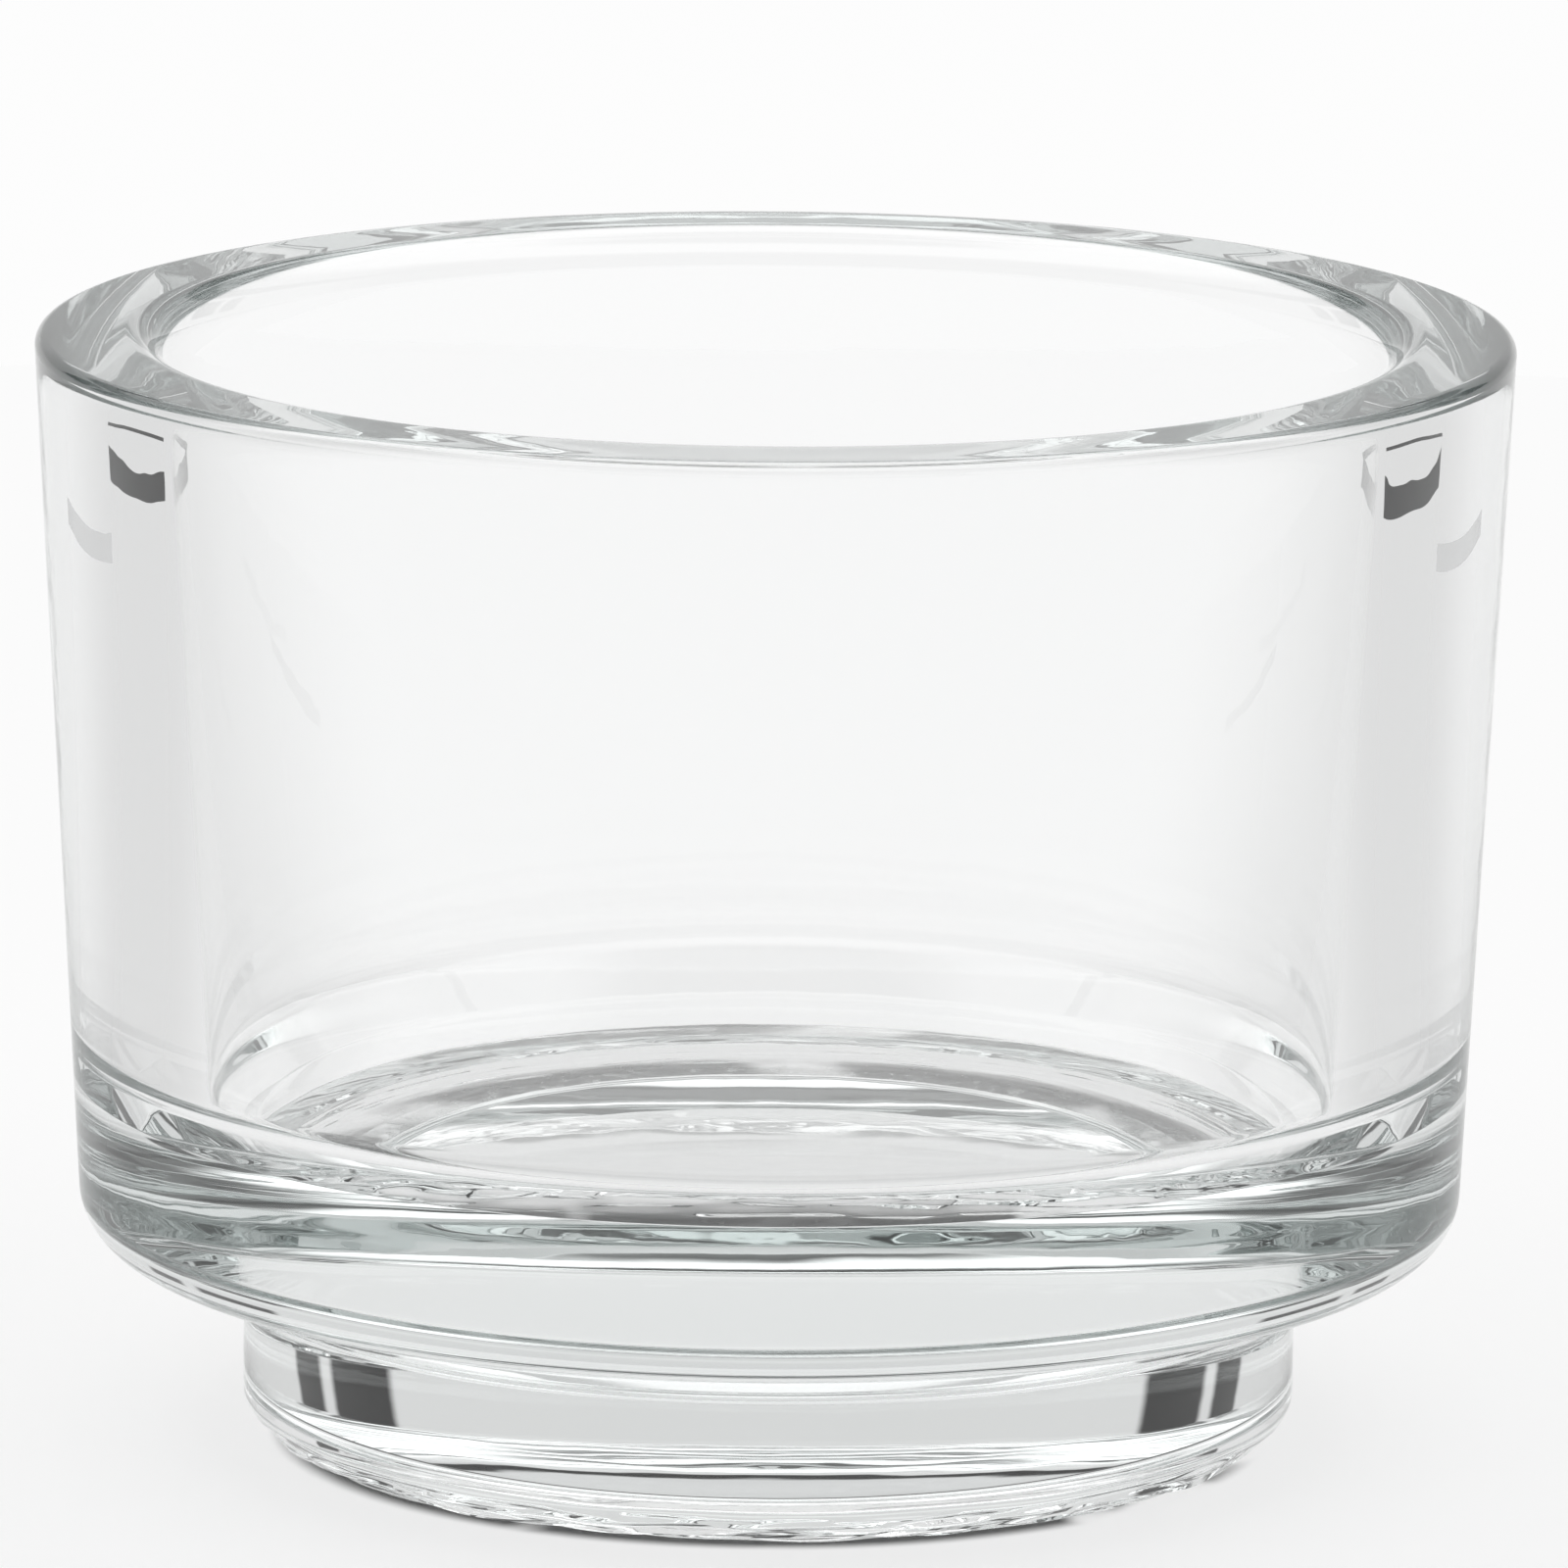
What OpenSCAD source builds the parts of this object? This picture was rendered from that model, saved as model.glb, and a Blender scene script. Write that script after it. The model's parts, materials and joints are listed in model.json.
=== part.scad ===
// Tealight holder in clear pressed glass: a thick-walled round bowl on a low round foot,
// formed as one piece. Millimetres, +Z up, origin at the centre of the resting ring.

/* [Bowl] */
// Height from the table to the top of the rim
holder_h = 68.5; // [66:0.1:76]
// Outside diameter where the outer wall would meet the top of the rim
rim_d = 90.1; // [88:0.1:100]
// Lean of the outer wall from the vertical, in degrees
wall_taper = 2.9; // [0:0.1:5]
// Diameter of the mouth, inside the rim
mouth_d = 74.3; // [70:0.1:78]
// Diameter of the bowl's flat floor
floor_d = 63.2; // [60:0.2:66]
// Width and height of the slope between the floor and the wall
floor_slope = 3; // [1:0.5:4]
// Height of the bowl's floor above the table
floor_h = 21; // [18:0.5:26]

/* [Foot] */
// Diameter of the foot
foot_d = 64.6; // [60:0.1:70]
// Height of the foot where the bowl's underside meets it
foot_h = 9.6; // [8:0.1:11]
// Rise of the bowl's underside from the foot outwards, in degrees
shoulder_rise = 19.9; // [12:0.1:24]
// Diameter of the recess under the foot, at its ceiling
recess_d = 49; // [40:1:52]
// Depth of the recess under the foot
recess_depth = 2; // [1:0.1:3]
// Rise of the recess's ceiling from its edge to its middle
recess_arch = 0.5; // [0.2:0.1:1]

/* [Rounds] */
// Radius of the rim's outer edge
rim_outer_round = 0.8; // [0.5:0.1:3]
// Radius of the rim's inner edge
rim_inner_round = 2.5; // [0.6:0.1:3]
// Radius of the heel, where the outer wall turns under
heel_round = 3.7; // [2:0.1:6]
// Radius of the fillet between the underside and the foot
foot_fillet = 0.6; // [0.3:0.1:2]
// Radius of the foot's bottom edge
foot_edge_round = 3; // [1:0.1:4]
// Radius inside the bowl, between the wall and the slope
wall_foot_round = 2.5; // [1:0.5:6]
// Radius of the edge between the slope and the floor
floor_edge_round = 0.4; // [0.2:0.1:2]

/* [Hidden] */

// facets to a full turn
smooth = 180;

// each round is drawn this much larger, so that it meets its neighbours in one clean edge
overlap = 0.0002;

rim_r = rim_d / 2;
mouth_r = mouth_d / 2;
floor_r = floor_d / 2;
foot_r = foot_d / 2;
recess_r = recess_d / 2;

// the recess opens towards the table by this share of its depth
recess_draft = 0.25;
recess_mouth_r = recess_r + recess_draft * recess_depth;
recess_ceiling_round = 0.5;
recess_edge_round = 0.2;

// the straight wall and the straight underside meet at the heel
heel_x = (rim_r - foot_r - (holder_h - foot_h) * tan(wall_taper))
       / (1 - tan(shoulder_rise) * tan(wall_taper));
heel_r = foot_r + heel_x;
heel_h = foot_h + heel_x * tan(shoulder_rise);

// a flat land is left between the arch and the round at the recess's ceiling
land_w = 0.5;
arch_r = recess_r - recess_ceiling_round - land_w;
arch_sphere_r = (arch_r * arch_r + recess_arch * recess_arch) / (2 * recess_arch);

function unit(v) = v / norm(v);

// Where a round of the given radius starts, has its centre and ends, in one corner of an outline
function round_points(before, corner, after, radius) =
    let (
        back = unit(before - corner),
        ahead = unit(after - corner),
        half_angle = acos(back * ahead) / 2,
        reach = radius / tan(half_angle)
    )
    [
        corner + reach * back,
        corner + radius / sin(half_angle) * unit(back + ahead),
        corner + reach * ahead
    ];

// An outline from anticlockwise corners, each rounded with its own radius; 0 leaves a corner sharp
module rounded_outline(corners, radii) {
    count = len(corners);
    every = [0 : count - 1];
    before = [for (i = every) corners[(i + count - 1) % count]];
    after = [for (i = every) corners[(i + 1) % count]];
    turns = [for (i = every) cross(corners[i] - before[i], after[i] - corners[i])];
    rounds = [
        for (i = every)
            radii[i] > 0 ? round_points(before[i], corners[i], after[i], radii[i]) : [corners[i]]
    ];
    difference() {
        union() {
            polygon([for (points = rounds) each points]);
            for (i = every)
                if (radii[i] > 0 && turns[i] > 0)
                    translate(rounds[i][1]) circle(r = radii[i] + overlap, $fn = smooth);
        }
        for (i = every)
            if (radii[i] > 0 && turns[i] < 0)
                translate(rounds[i][1]) circle(r = radii[i] + overlap, $fn = smooth);
    }
}

// Half of the holder's section, from the axis outwards
module section() {
    rounded_outline(
        [
            [0, recess_depth],
            [recess_r, recess_depth],
            [recess_mouth_r, 0],
            [foot_r, 0],
            [foot_r, foot_h],
            [heel_r, heel_h],
            [rim_r, holder_h],
            [mouth_r, holder_h],
            [floor_r + floor_slope, floor_h + floor_slope],
            [floor_r, floor_h],
            [0, floor_h]
        ],
        [
            0,
            recess_ceiling_round,
            recess_edge_round,
            foot_edge_round,
            foot_fillet,
            heel_round,
            rim_outer_round,
            rim_inner_round,
            wall_foot_round,
            floor_edge_round,
            0
        ]
    );
}

// The shallow arch that the recess's ceiling is pressed with
module ceiling_arch() {
    intersection() {
        translate([0, 0, recess_depth - recess_arch])
            cylinder(h = 2 * recess_arch, r = arch_r, $fn = smooth);
        translate([0, 0, recess_depth + recess_arch - arch_sphere_r])
            sphere(r = arch_sphere_r, $fn = smooth);
    }
}

module glass_holder() {
    color([0.86, 0.93, 0.92, 0.45])
        difference() {
            rotate_extrude($fn = smooth) section();
            ceiling_arch();
        }
}

glass_holder();
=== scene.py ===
import json
import math

import bpy
from mathutils import Matrix, Vector, noise


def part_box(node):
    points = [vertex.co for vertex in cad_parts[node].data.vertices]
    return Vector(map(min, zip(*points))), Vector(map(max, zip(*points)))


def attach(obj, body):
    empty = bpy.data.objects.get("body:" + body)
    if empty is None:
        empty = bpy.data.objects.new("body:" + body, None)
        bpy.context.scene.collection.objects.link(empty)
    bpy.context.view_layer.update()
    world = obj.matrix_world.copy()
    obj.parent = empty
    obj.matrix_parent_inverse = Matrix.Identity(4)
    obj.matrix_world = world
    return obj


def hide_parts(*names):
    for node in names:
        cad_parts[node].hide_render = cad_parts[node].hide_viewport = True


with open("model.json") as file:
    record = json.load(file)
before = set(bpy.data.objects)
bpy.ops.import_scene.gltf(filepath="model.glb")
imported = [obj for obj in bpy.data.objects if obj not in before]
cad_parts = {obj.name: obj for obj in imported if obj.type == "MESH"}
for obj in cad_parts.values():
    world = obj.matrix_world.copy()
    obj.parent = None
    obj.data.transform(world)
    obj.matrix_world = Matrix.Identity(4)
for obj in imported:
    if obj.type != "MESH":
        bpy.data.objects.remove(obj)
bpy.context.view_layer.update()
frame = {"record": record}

MM = 0.001
NODE = "glass_holder"

# ---------------------------------------------------------------- sizes, in metres
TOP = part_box(NODE)[1]
HEIGHT = TOP.z
RIM_R = TOP.x
MOUNTS = {mount["name"]: Vector(mount["pos_m"]) for mount in frame["record"]["mounts"]}
FLOOR_H = MOUNTS["candle_seat"].z

MOUTH_R = 37.15 * MM
FLOOR_R = 31.6 * MM
FLOOR_SLOPE = 3 * MM
WALL_FOOT_ROUND = 2.5 * MM
FLOOR_EDGE_ROUND = 0.4 * MM
FOOT_R = 32.3 * MM
FOOT_H = 9.6 * MM
FOOT_FILLET = 0.6 * MM
FOOT_EDGE_ROUND = 3 * MM
SHOULDER_RISE = math.radians(19.9)
HEEL_ROUND = 3.7 * MM
WALL_TAPER = math.radians(2.9)
RIM_OUTER_ROUND = 0.8 * MM
RIM_INNER_ROUND = 2.5 * MM
RECESS_R = 24.5 * MM
RECESS_DEPTH = 2 * MM
RECESS_ARCH = 0.5 * MM
RECESS_MOUTH_R = 25 * MM
RECESS_ROUND = 0.5 * MM
RECESS_EDGE_ROUND = 0.2 * MM
SAME_HEIGHT = 0.0001 * MM

# ---------------------------------------------------------------- mesh resolution
TURN_STEPS = 300
ARC_STEPS = 18
LONGEST_STEP = 1.1 * MM

# ---------------------------------------------------------------- unevenness of the pressed surface
# Gentle waves all over
WALL_WAVE = 0.003 * MM
WAVE_LENGTH = 14 * MM
# Long flat streaks in the base
BASE_STREAK = 0.006 * MM
STREAK_TOP = 27 * MM
STREAK_LENGTH = 22 * MM
STREAK_HEIGHT = 1.6 * MM
STREAK_WIDTH = 2.2 * MM
# Nicks round the foot's bottom edge
FOOT_NICK = 0.4 * MM
NICK_TOP = 2.6 * MM
NICK_LENGTH = 7 * MM
NICK_HEIGHT = 0.45 * MM
NICK_INSIDE = 28.5 * MM
NICK_OUTSIDE = 30 * MM

# ---------------------------------------------------------------- glass
GLASS_IOR = 1.52
GLASS_TINT = (0.5, 0.56, 0.55, 1)
GLASS_DENSITY = 5
WORN_ROUGHNESS = 0.3
WORN_HEIGHT = 0.5 * MM
SCUFF_SCALE = 900
SKIN_BUMP = 0.006 * MM
SKIN_SCALE = 160

# ---------------------------------------------------------------- light table
TABLE_R = 0.38
TABLE_SIDES = 96
TABLE_DROP = 0.05 * MM
TABLE_GLOW = 0.71
TABLE_GREY = 0.25
# Painted contact shadow: the table's glow is taken away, patchily, under the foot's ring
CONTACT_SHADOW_R = FOOT_R - 3.3 * MM
CONTACT_SHADOW_EDGE = 2 * MM
CONTACT_SHADOW_SCALE = 55

# ---------------------------------------------------------------- sheets on the table
# Azimuths are in degrees from straight back, and reaches are measured from the start
# The dark cards are painted dark reflections, seen only in the glass
CARD_START = (43 * MM, 10 * MM)
CARD_AZIMUTHS = (35, 57)
CARD_REACHES = (255 * MM, 227 * MM)
CARD_DEPTH = 10 * MM
CARD_HEIGHT = 0.03 * MM
VEIL_START = (0, 0)
VEIL_AZIMUTHS = (14, 86)
VEIL_STEPS = 12
VEIL_REACHES = (70 * MM, 360 * MM)
VEIL_FULL = (42, 60)
VEIL_EDGE = 28
VEIL_HEIGHT = 0.01 * MM
VEIL_LEVEL = 0.75

# ---------------------------------------------------------------- studio
# Azimuths are in degrees from straight back, and heights are in degrees above the horizon
BACK_LIGHT = 0.8
FRONT_LIGHT = 0.15
BACK_TO_FRONT = (70, 105)
HORIZON_LIGHT = 0.98
HORIZON_HEIGHTS = (2, 6)
TOP_LIGHT = 1.8
TOP_HEIGHTS = (46, 62)
TOP_EDGE = 12
GAP_LEVEL = 0.05
GAP_HEIGHTS = (24, 28)
GAP_EDGE = 2
FLAG_LEVEL = 0.03
FLAG_AZIMUTHS = ((35, 44), (48, 53))
FLAG_HEIGHTS = (9, 20)
FLAG_EDGE = 1.5

# ---------------------------------------------------------------- camera
CAMERA_PLACE = Vector((0, -952.8, 234.2)) * MM
CAMERA_AIM = Vector((0.7, 0, 40.4)) * MM
CAMERA_ROLL = math.radians(0.44)
SENSOR_WIDTH = 36
LENS = 365.3
NEAREST = 0.01
FARTHEST = 50
BOUNCES = 96


def rounded_corner(before, corner, after, radius):
    """The points of the arc that rounds one corner of an outline."""
    back = (before - corner).normalized()
    ahead = (after - corner).normalized()
    half_angle = back.angle(ahead) / 2
    reach = radius / math.tan(half_angle)
    centre = corner + (back + ahead).normalized() * radius / math.sin(half_angle)
    start = corner + back * reach - centre
    end = corner + ahead * reach - centre
    sweep = start.angle(end)
    points = []
    for step in range(ARC_STEPS + 1):
        t = step / ARC_STEPS
        blend = math.sin((1 - t) * sweep) * start + math.sin(t * sweep) * end
        points.append(centre + blend / math.sin(sweep))
    return points


def holder_section():
    """Half of the holder's section from the recess's centre, round the outside, to the floor's centre."""
    wall_slope = math.tan(WALL_TAPER)
    rim_corner_r = RIM_R + RIM_OUTER_ROUND * wall_slope
    heel_x = (rim_corner_r - FOOT_R - (HEIGHT - FOOT_H) * wall_slope) / (
        1 - math.tan(SHOULDER_RISE) * wall_slope
    )
    corners = [
        ((0, RECESS_DEPTH), 0),
        ((RECESS_R, RECESS_DEPTH), RECESS_ROUND),
        ((RECESS_MOUTH_R, 0), RECESS_EDGE_ROUND),
        ((FOOT_R, 0), FOOT_EDGE_ROUND),
        ((FOOT_R, FOOT_H), FOOT_FILLET),
        ((FOOT_R + heel_x, FOOT_H + heel_x * math.tan(SHOULDER_RISE)), HEEL_ROUND),
        ((rim_corner_r, HEIGHT), RIM_OUTER_ROUND),
        ((MOUTH_R, HEIGHT), RIM_INNER_ROUND),
        ((FLOOR_R + FLOOR_SLOPE, FLOOR_H + FLOOR_SLOPE), WALL_FOOT_ROUND),
        ((FLOOR_R, FLOOR_H), FLOOR_EDGE_ROUND),
        ((0, FLOOR_H), 0),
    ]
    points = [Vector(corners[0][0])]
    for i in range(1, len(corners) - 1):
        (corner, radius) = corners[i]
        points += rounded_corner(
            Vector(corners[i - 1][0]), Vector(corner), Vector(corners[i + 1][0]), radius
        )
    points.append(Vector(corners[-1][0]))
    return points


def evenly_stepped(points):
    """The same outline with no step longer than LONGEST_STEP."""
    stepped = [points[0]]
    for point in points[1:]:
        start = stepped[-1]
        parts = max(1, math.ceil((point - start).length / LONGEST_STEP))
        stepped += [start.lerp(point, part / parts) for part in range(1, parts + 1)]
    return stepped


def arched(points):
    """The recess's ceiling raised towards its centre as a shallow arch."""
    for point in points:
        if abs(point.y - RECESS_DEPTH) < SAME_HEIGHT:
            point.y += RECESS_ARCH * (1 - (point.x / RECESS_R) ** 2)
    return points


def fade(value, start, end):
    """A smooth step from 0 at start to 1 at end."""
    t = min(1, max(0, (value - start) / (end - start)))
    return t * t * (3 - 2 * t)


def unevenness(place, radius):
    """How far the glass lies below its true surface, as pressing and cooling leave it."""
    wave = noise.noise(place / WAVE_LENGTH)
    across = place.z / STREAK_HEIGHT + radius / STREAK_WIDTH
    streak = noise.noise(Vector((place.x / STREAK_LENGTH, place.y / STREAK_LENGTH, across)))
    across = (place.z + radius) / NICK_HEIGHT
    nick = noise.noise(Vector((place.x / NICK_LENGTH, place.y / NICK_LENGTH, across)))
    in_base = 1 - fade(place.z, 0.6 * STREAK_TOP, STREAK_TOP)
    low_down = 1 - fade(place.z, 0.5 * NICK_TOP, NICK_TOP)
    at_edge = low_down * fade(radius, NICK_INSIDE, NICK_OUTSIDE)
    return (
        WALL_WAVE * (1 + wave)
        + BASE_STREAK * in_base * (1 + streak)
        + FOOT_NICK * at_edge * (1 + nick)
    )


def lathe(name, section):
    """A closed mesh of revolution from a section whose first and last points lie on the axis."""
    rings = section[1:-1]
    verts = [(0, 0, section[0].y)]
    for i, point in enumerate(rings):
        along = section[i + 2] - section[i]
        inward = Vector((-along.y, along.x)).normalized()
        for step in range(TURN_STEPS):
            angle = 2 * math.pi * step / TURN_STEPS
            turn = Vector((math.cos(angle), math.sin(angle)))
            depth = unevenness(Vector((*(point.x * turn), point.y)), point.x)
            moved = point + depth * inward
            verts.append((*(moved.x * turn), moved.y))
    verts.append((0, 0, section[-1].y))
    top = len(verts) - 1
    faces = []
    for step in range(TURN_STEPS):
        after = (step + 1) % TURN_STEPS
        faces.append((0, 1 + after, 1 + step))
        for ring in range(len(rings) - 1):
            a = 1 + ring * TURN_STEPS
            b = a + TURN_STEPS
            faces.append((a + step, a + after, b + after, b + step))
        last = 1 + (len(rings) - 1) * TURN_STEPS
        faces.append((last + step, last + after, top))
    mesh = bpy.data.meshes.new(name)
    mesh.from_pydata(verts, [], faces)
    mesh.update()
    for polygon in mesh.polygons:
        polygon.use_smooth = True
    piece = bpy.data.objects.new(name, mesh)
    bpy.context.scene.collection.objects.link(piece)
    return piece


def maths(tree, operation, *inputs):
    """The output of a math node fed with numbers or sockets."""
    node = tree.nodes.new("ShaderNodeMath")
    node.operation = operation
    for socket, value in zip(node.inputs, inputs):
        if isinstance(value, (int, float)):
            socket.default_value = value
        else:
            tree.links.new(value, socket)
    return node.outputs[0]


def smooth_step(tree, value, start, end):
    """An output that rises smoothly from 0 at start to 1 at end."""
    node = tree.nodes.new("ShaderNodeMapRange")
    node.interpolation_type = "SMOOTHSTEP"
    tree.links.new(value, node.inputs["Value"])
    node.inputs["From Min"].default_value = start
    node.inputs["From Max"].default_value = end
    return node.outputs[0]


def between(tree, value, start, end, edge):
    """1 from start to end, falling smoothly to 0 outside."""
    rise = smooth_step(tree, value, start - edge, start)
    fall = smooth_step(tree, value, end + edge, end)
    return maths(tree, "MULTIPLY", rise, fall)


def mixed(tree, first, second, share):
    """The first value, moved to the second by a share from 0 to 1."""
    change = maths(tree, "MULTIPLY", maths(tree, "SUBTRACT", second, first), share)
    return maths(tree, "ADD", first, change)


def noise_texture(tree, vector, scale, detail):
    """The output of a noise texture."""
    node = tree.nodes.new("ShaderNodeTexNoise")
    tree.links.new(vector, node.inputs["Vector"])
    node.inputs["Scale"].default_value = scale
    node.inputs["Detail"].default_value = detail
    return node.outputs[0]


def coordinates(tree, source):
    """The position or the direction of what is shaded, as a vector."""
    return tree.nodes.new("ShaderNodeTexCoord").outputs[source]


def parts_of(tree, vector):
    """The three parts of a vector."""
    split = tree.nodes.new("ShaderNodeSeparateXYZ")
    tree.links.new(vector, split.inputs[0])
    return split.outputs


def distance_from_axis(tree, parts):
    """How far a point lies from the holder's axis."""
    across = maths(tree, "MULTIPLY", parts["X"], parts["X"])
    along = maths(tree, "MULTIPLY", parts["Y"], parts["Y"])
    return maths(tree, "SQRT", maths(tree, "ADD", across, along))


def azimuth_from_back(tree, parts):
    """The angle in degrees from straight back, the same to the left and to the right."""
    turn = maths(tree, "ARCTAN2", parts["X"], parts["Y"])
    return maths(tree, "ABSOLUTE", maths(tree, "DEGREES", turn))


def new_material(name):
    """A new material, its node tree and its Principled shader."""
    material = bpy.data.materials.new(name)
    material.use_nodes = True
    return material, material.node_tree, material.node_tree.nodes["Principled BSDF"]


def clear_glass():
    """Clear pressed glass: fire-polished, worn where it stands, faintly green where it is thick."""
    material, tree, surface = new_material("clear_glass")
    place = coordinates(tree, "Object")
    parts = parts_of(tree, place)
    surface.inputs["Base Color"].default_value = (1, 1, 1, 1)
    surface.inputs["Transmission Weight"].default_value = 1
    surface.inputs["IOR"].default_value = GLASS_IOR
    scuffs = smooth_step(tree, noise_texture(tree, place, SCUFF_SCALE, 3), 0.45, 0.65)
    at_table = smooth_step(tree, parts["Z"], WORN_HEIGHT, 0.2 * WORN_HEIGHT)
    outside_recess = smooth_step(tree, distance_from_axis(tree, parts), RECESS_R, RECESS_MOUTH_R)
    ring = maths(tree, "MULTIPLY", at_table, outside_recess)
    worn = maths(tree, "MULTIPLY", maths(tree, "MULTIPLY", scuffs, ring), WORN_ROUGHNESS)
    tree.links.new(worn, surface.inputs["Roughness"])
    bump = tree.nodes.new("ShaderNodeBump")
    bump.inputs["Distance"].default_value = SKIN_BUMP
    tree.links.new(noise_texture(tree, place, SKIN_SCALE, 2), bump.inputs["Height"])
    tree.links.new(bump.outputs[0], surface.inputs["Normal"])
    body = tree.nodes.new("ShaderNodeVolumeAbsorption")
    body.inputs["Color"].default_value = GLASS_TINT
    body.inputs["Density"].default_value = GLASS_DENSITY
    tree.links.new(body.outputs[0], tree.nodes["Material Output"].inputs["Volume"])
    return material


def staged(name, verts, faces, material):
    """A piece of studio equipment, which is not part of the object."""
    mesh = bpy.data.meshes.new(name)
    mesh.from_pydata(verts, [], faces)
    mesh.materials.append(material)
    made = bpy.data.objects.new(name, mesh)
    bpy.context.scene.collection.objects.link(made)
    return made


def sheet_each_side(name, outline, height, material):
    """A thin sheet on the right and on the left of the table, which only the glass shows."""
    for side in (-1, 1):
        verts = [(side * x, y, height) for (x, y) in outline]
        sheet = staged(name, verts, [tuple(range(len(verts)))], material)
        sheet.visible_camera = False
        sheet.visible_diffuse = False
        sheet.visible_shadow = False


def table_place(start, azimuth, reach):
    """The point on the table at an azimuth and a reach from a start point."""
    turn = math.radians(azimuth)
    return (start[0] + reach * math.sin(turn), start[1] + reach * math.cos(turn))


def pale_floor():
    """A plain white light table just below the foot, with a painted contact shadow where the foot's ring
    stands: its glow is taken away there, patchily.
    """
    material, tree, surface = new_material("floor")
    surface.inputs["Base Color"].default_value = (TABLE_GREY, TABLE_GREY, TABLE_GREY, 1)
    surface.inputs["Roughness"].default_value = 0.9
    surface.inputs["Specular IOR Level"].default_value = 0
    surface.inputs["Emission Color"].default_value = (1, 1, 1, 1)
    place = coordinates(tree, "Object")
    radius = distance_from_axis(tree, parts_of(tree, place))
    # Painted contact shadow under the foot's ring, in noisy spots
    contact_shadow_ring = between(tree, radius, RECESS_R, CONTACT_SHADOW_R, CONTACT_SHADOW_EDGE)
    shadow_patches = smooth_step(tree, noise_texture(tree, place, CONTACT_SHADOW_SCALE, 3), 0.6, 0.5)
    shade = maths(tree, "MULTIPLY", contact_shadow_ring, shadow_patches)
    tree.links.new(mixed(tree, TABLE_GLOW, 0, shade), surface.inputs["Emission Strength"])
    edge = [2 * math.pi * side / TABLE_SIDES for side in range(TABLE_SIDES)]
    verts = [(TABLE_R * math.cos(angle), TABLE_R * math.sin(angle), -TABLE_DROP) for angle in edge]
    staged("floor", verts, [tuple(range(TABLE_SIDES))], material)


def dark_cards():
    """A small dark card on each side of the table, which only the glass shows, as a painted dark
    reflection.
    """
    material, tree, surface = new_material("dark_card")
    surface.inputs["Base Color"].default_value = (0.01, 0.01, 0.01, 1)
    surface.inputs["Specular IOR Level"].default_value = 0
    ends = list(zip(CARD_AZIMUTHS, CARD_REACHES))
    near = [table_place(CARD_START, azimuth, reach) for (azimuth, reach) in ends]
    far = [table_place(CARD_START, azimuth, reach + CARD_DEPTH) for (azimuth, reach) in reversed(ends)]
    sheet_each_side("dark_card", near + far, CARD_HEIGHT, material)


def grey_veils():
    """A soft grey sheet on each side of the table, which shades the bowl's sides."""
    material, tree, surface = new_material("grey_veil")
    surface.inputs["Base Color"].default_value = (0, 0, 0, 1)
    surface.inputs["Specular IOR Level"].default_value = 0
    surface.inputs["Emission Color"].default_value = (1, 1, 1, 1)
    surface.inputs["Emission Strength"].default_value = VEIL_LEVEL
    azimuth = azimuth_from_back(tree, parts_of(tree, coordinates(tree, "Object")))
    tree.links.new(between(tree, azimuth, *VEIL_FULL, VEIL_EDGE), surface.inputs["Alpha"])
    first, last = VEIL_AZIMUTHS
    sweep = [first + (last - first) * step / VEIL_STEPS for step in range(VEIL_STEPS + 1)]
    near = [table_place(VEIL_START, turn, VEIL_REACHES[0]) for turn in sweep]
    far = [table_place(VEIL_START, turn, VEIL_REACHES[1]) for turn in reversed(sweep)]
    sheet_each_side("grey_veil", near + far, VEIL_HEIGHT, material)


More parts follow.
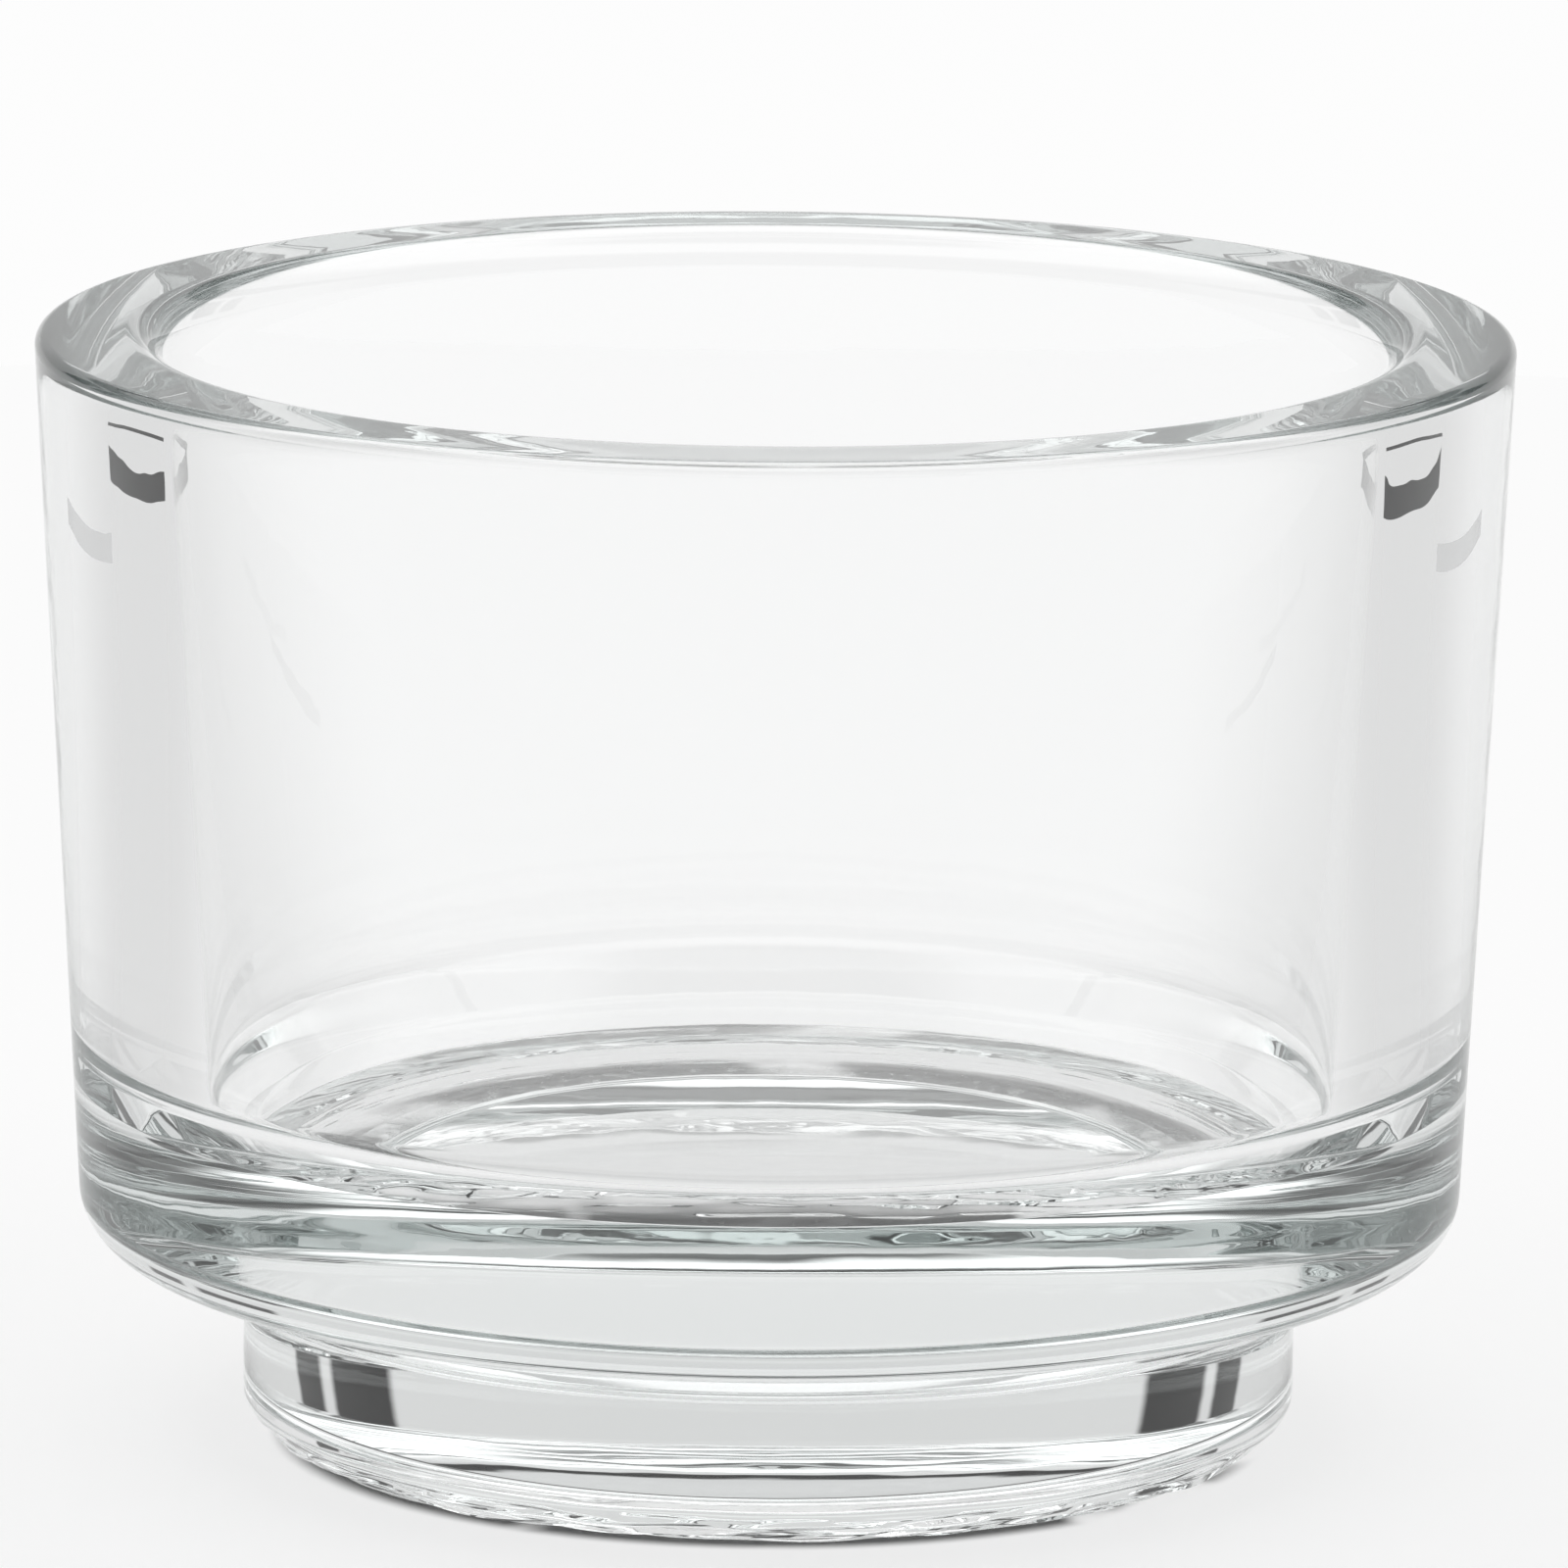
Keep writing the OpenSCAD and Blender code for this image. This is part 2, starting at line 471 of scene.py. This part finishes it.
def studio_light():
    """A white backdrop with dark flags, a dim front, and a ring of light high above a dark gap."""
    world = bpy.data.worlds.new("studio")
    bpy.context.scene.world = world
    world.use_nodes = True
    tree = world.node_tree
    tree.nodes.clear()
    parts = parts_of(tree, coordinates(tree, "Generated"))
    height = maths(tree, "DEGREES", maths(tree, "ARCSINE", parts["Z"]))
    azimuth = azimuth_from_back(tree, parts)
    level = mixed(tree, BACK_LIGHT, FRONT_LIGHT, smooth_step(tree, azimuth, *BACK_TO_FRONT))
    level = mixed(tree, HORIZON_LIGHT, level, smooth_step(tree, height, *HORIZON_HEIGHTS))
    level = mixed(tree, level, TOP_LIGHT, between(tree, height, *TOP_HEIGHTS, TOP_EDGE))
    level = mixed(tree, level, GAP_LEVEL, between(tree, height, *GAP_HEIGHTS, GAP_EDGE))
    for sides in FLAG_AZIMUTHS:
        across = between(tree, azimuth, *sides, FLAG_EDGE)
        flag = maths(tree, "MULTIPLY", across, between(tree, height, *FLAG_HEIGHTS, FLAG_EDGE))
        level = mixed(tree, level, FLAG_LEVEL, flag)
    background = tree.nodes.new("ShaderNodeBackground")
    background.inputs["Color"].default_value = (1, 1, 1, 1)
    tree.links.new(level, background.inputs["Strength"])
    output = tree.nodes.new("ShaderNodeOutputWorld")
    tree.links.new(background.outputs[0], output.inputs["Surface"])


def camera():
    """A long lens, a little above the rim, looking down at the holder's middle."""
    forward = (CAMERA_AIM - CAMERA_PLACE).normalized()
    right = forward.cross(Vector((0, 0, 1))).normalized()
    up = right.cross(forward)
    turned_right = right * math.cos(CAMERA_ROLL) + up * math.sin(CAMERA_ROLL)
    turned_up = up * math.cos(CAMERA_ROLL) - right * math.sin(CAMERA_ROLL)
    turn = Matrix((turned_right, turned_up, -forward)).transposed().to_4x4()
    data = bpy.data.cameras.new("camera")
    data.sensor_width = SENSOR_WIDTH
    data.lens = LENS
    data.clip_start = NEAREST
    data.clip_end = FARTHEST
    made = bpy.data.objects.new("camera", data)
    made.matrix_world = Matrix.Translation(CAMERA_PLACE) @ turn
    bpy.context.scene.collection.objects.link(made)
    bpy.context.scene.camera = made


def light_paths():
    """Enough bounces for light to get through the thick base."""
    scene = bpy.context.scene
    scene.view_settings.view_transform = "Standard"
    scene.cycles.max_bounces = BOUNCES
    scene.cycles.transmission_bounces = BOUNCES
    scene.cycles.glossy_bounces = BOUNCES
    scene.cycles.use_denoising = True


camera()
light_paths()
studio_light()
pale_floor()
dark_cards()
grey_veils()

holder = lathe("holder", arched(evenly_stepped(holder_section())))
holder.data.materials.append(clear_glass())
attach(holder, "root")
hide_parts(NODE)
